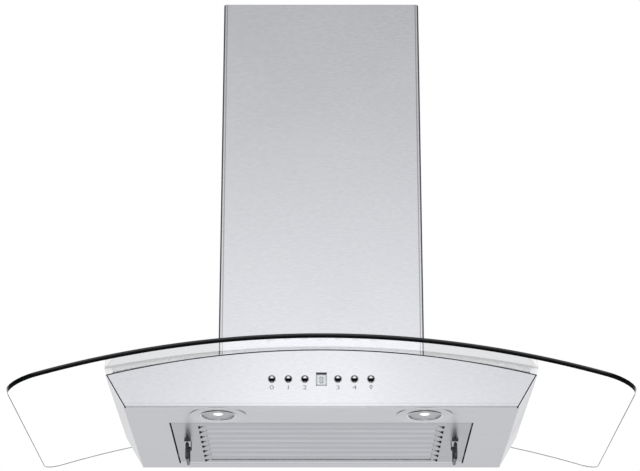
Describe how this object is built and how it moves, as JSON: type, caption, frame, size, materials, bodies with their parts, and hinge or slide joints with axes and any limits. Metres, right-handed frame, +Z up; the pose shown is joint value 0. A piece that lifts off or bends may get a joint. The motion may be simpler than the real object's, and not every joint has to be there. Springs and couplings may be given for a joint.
{
  "type": "wall mount range hood",
  "caption": "Chimney range hood with an arched glass canopy over a tapered steel body, baffle filter, lamps, push buttons and a telescoping duct cover.",
  "frame": {"origin": "on the wall plane, in the middle of the four wall bolts at the back of the motor box", "axes": "+X to the right along the canopy, +Y into the wall, +Z up along the chimney"},
  "size_m": [0.9, 0.5, 0.747],
  "materials": {
    "brushed_steel": "brushed along X, satin",
    "tempered_glass": "clear, polished edges",
    "galvanised_steel": "dull zinc coat",
    "chrome_trim": "bright polished",
    "baffle_steel": "satin rolled",
    "black_gasket": "matte",
    "clear_silicone": "translucent",
    "black_plastic": "moulded",
    "grey_plastic": "moulded",
    "white_plastic": "moulded",
    "circuit_board": "solder-mask green",
    "lamp_glass": "clear",
    "display_pane": "smoked clear",
    "motor_enamel": "baked enamel",
    "lamp_aluminium": "die-cast",
    "screw_steel": "nickel plated"
  },
  "bodies": {
    "root": {"glass_canopy": "tempered_glass", "glass_seals": "clear_silicone", "glass_clamps": "galvanised_steel", "front_panel": "brushed_steel", "panel_gasket": "black_gasket", "side_panel_left": "brushed_steel", "side_panel_right": "brushed_steel", "roof_plate": "brushed_steel", "rear_panel": "galvanised_steel", "bottom_panel": "brushed_steel", "filter_surround": "galvanised_steel", "control_housing": "black_plastic", "control_board": "circuit_board", "tact_switches": "black_plastic", "display_bezel": "chrome_trim", "display_window": "display_pane", "chimney_lower": "brushed_steel", "chimney_clips": "galvanised_steel", "chimney_screws": "screw_steel", "motor_box_back": "galvanised_steel", "motor_box_sides": "galvanised_steel", "motor_box_top": "galvanised_steel", "motor_box_cover": "galvanised_steel", "motor_box_floor": "galvanised_steel", "scroll_left": "black_plastic", "scroll_right": "black_plastic", "motor": "motor_enamel", "motor_spider": "galvanised_steel", "capacitor": "white_plastic", "capacitor_band": "galvanised_steel", "outlet_adaptor": "black_plastic", "junction_box": "grey_plastic", "cable_gland": "black_plastic", "housing_screws": "screw_steel", "lamp_ring_left": "chrome_trim", "lamp_lens_left": "lamp_glass", "lamp_can_left": "lamp_aluminium", "lamp_ring_right": "chrome_trim", "lamp_lens_right": "lamp_glass", "lamp_can_right": "lamp_aluminium"},
    "upper_cover": {"chimney_upper": "brushed_steel", "upper_bracket": "galvanised_steel", "bracket_screws": "screw_steel"},
    "filter": {"filter_frame": "baffle_steel", "lower_baffles": "baffle_steel", "upper_baffles": "baffle_steel", "handle_ears": "chrome_trim", "filter_clips": "screw_steel"},
    "handle_left": {"filter_handle_left": "chrome_trim"},
    "handle_right": {"filter_handle_right": "chrome_trim"},
    "blower": {"blower_wheel": "grey_plastic", "motor_shaft": "screw_steel"},
    "flap_front": {"damper_flap_front": "grey_plastic"},
    "flap_rear": {"damper_flap_rear": "grey_plastic"},
    "button_1": {"button_1": "chrome_trim"},
    "button_2": {"button_2": "chrome_trim"},
    "button_3": {"button_3": "chrome_trim"},
    "button_4": {"button_4": "chrome_trim"},
    "button_5": {"button_5": "chrome_trim"},
    "button_6": {"button_6": "chrome_trim"}
  },
  "joints": [
    {"name": "upper_cover_slide", "type": "slide", "parent": "root", "child": "upper_cover", "axis": [0, 0, 1], "range_m": [0, 0.4]},
    {"name": "filter_slide", "type": "slide", "parent": "root", "child": "filter", "axis": [0, 0, -1], "range_m": [0, 0.12]},
    {"name": "handle_left_swing", "type": "hinge", "parent": "filter", "child": "handle_left", "pos_m": [-0.2026, -0.2365, -0.2195], "axis": [0, -1, 0], "range_deg": [0, 85]},
    {"name": "handle_right_swing", "type": "hinge", "parent": "filter", "child": "handle_right", "pos_m": [0.2026, -0.2365, -0.2195], "axis": [0, 1, 0], "range_deg": [0, 85]},
    {"name": "blower_spin", "type": "hinge", "parent": "root", "child": "blower", "pos_m": [0, -0.135, -0.01008], "axis": [1, 0, 0], "continuous": true},
    {"name": "flap_front_swing", "type": "hinge", "parent": "root", "child": "flap_front", "pos_m": [0, -0.1926, 0.1533], "axis": [-1, 0, 0], "range_deg": [0, 75]},
    {"name": "flap_rear_swing", "type": "hinge", "parent": "root", "child": "flap_rear", "pos_m": [0, -0.1874, 0.1533], "axis": [1, 0, 0], "range_deg": [0, 75]},
    {"name": "button_1_press", "type": "slide", "parent": "root", "child": "button_1", "axis": [0, 1, 0], "range_m": [0, 0.0025], "stiffness_N_per_m": 800},
    {"name": "button_2_press", "type": "slide", "parent": "root", "child": "button_2", "axis": [0, 1, 0], "range_m": [0, 0.0025], "stiffness_N_per_m": 800},
    {"name": "button_3_press", "type": "slide", "parent": "root", "child": "button_3", "axis": [0, 1, 0], "range_m": [0, 0.0025], "stiffness_N_per_m": 800},
    {"name": "button_4_press", "type": "slide", "parent": "root", "child": "button_4", "axis": [0, 1, 0], "range_m": [0, 0.0025], "stiffness_N_per_m": 800},
    {"name": "button_5_press", "type": "slide", "parent": "root", "child": "button_5", "axis": [0, 1, 0], "range_m": [0, 0.0025], "stiffness_N_per_m": 800},
    {"name": "button_6_press", "type": "slide", "parent": "root", "child": "button_6", "axis": [0, 1, 0], "range_m": [0, 0.0025], "stiffness_N_per_m": 800}
  ]
}
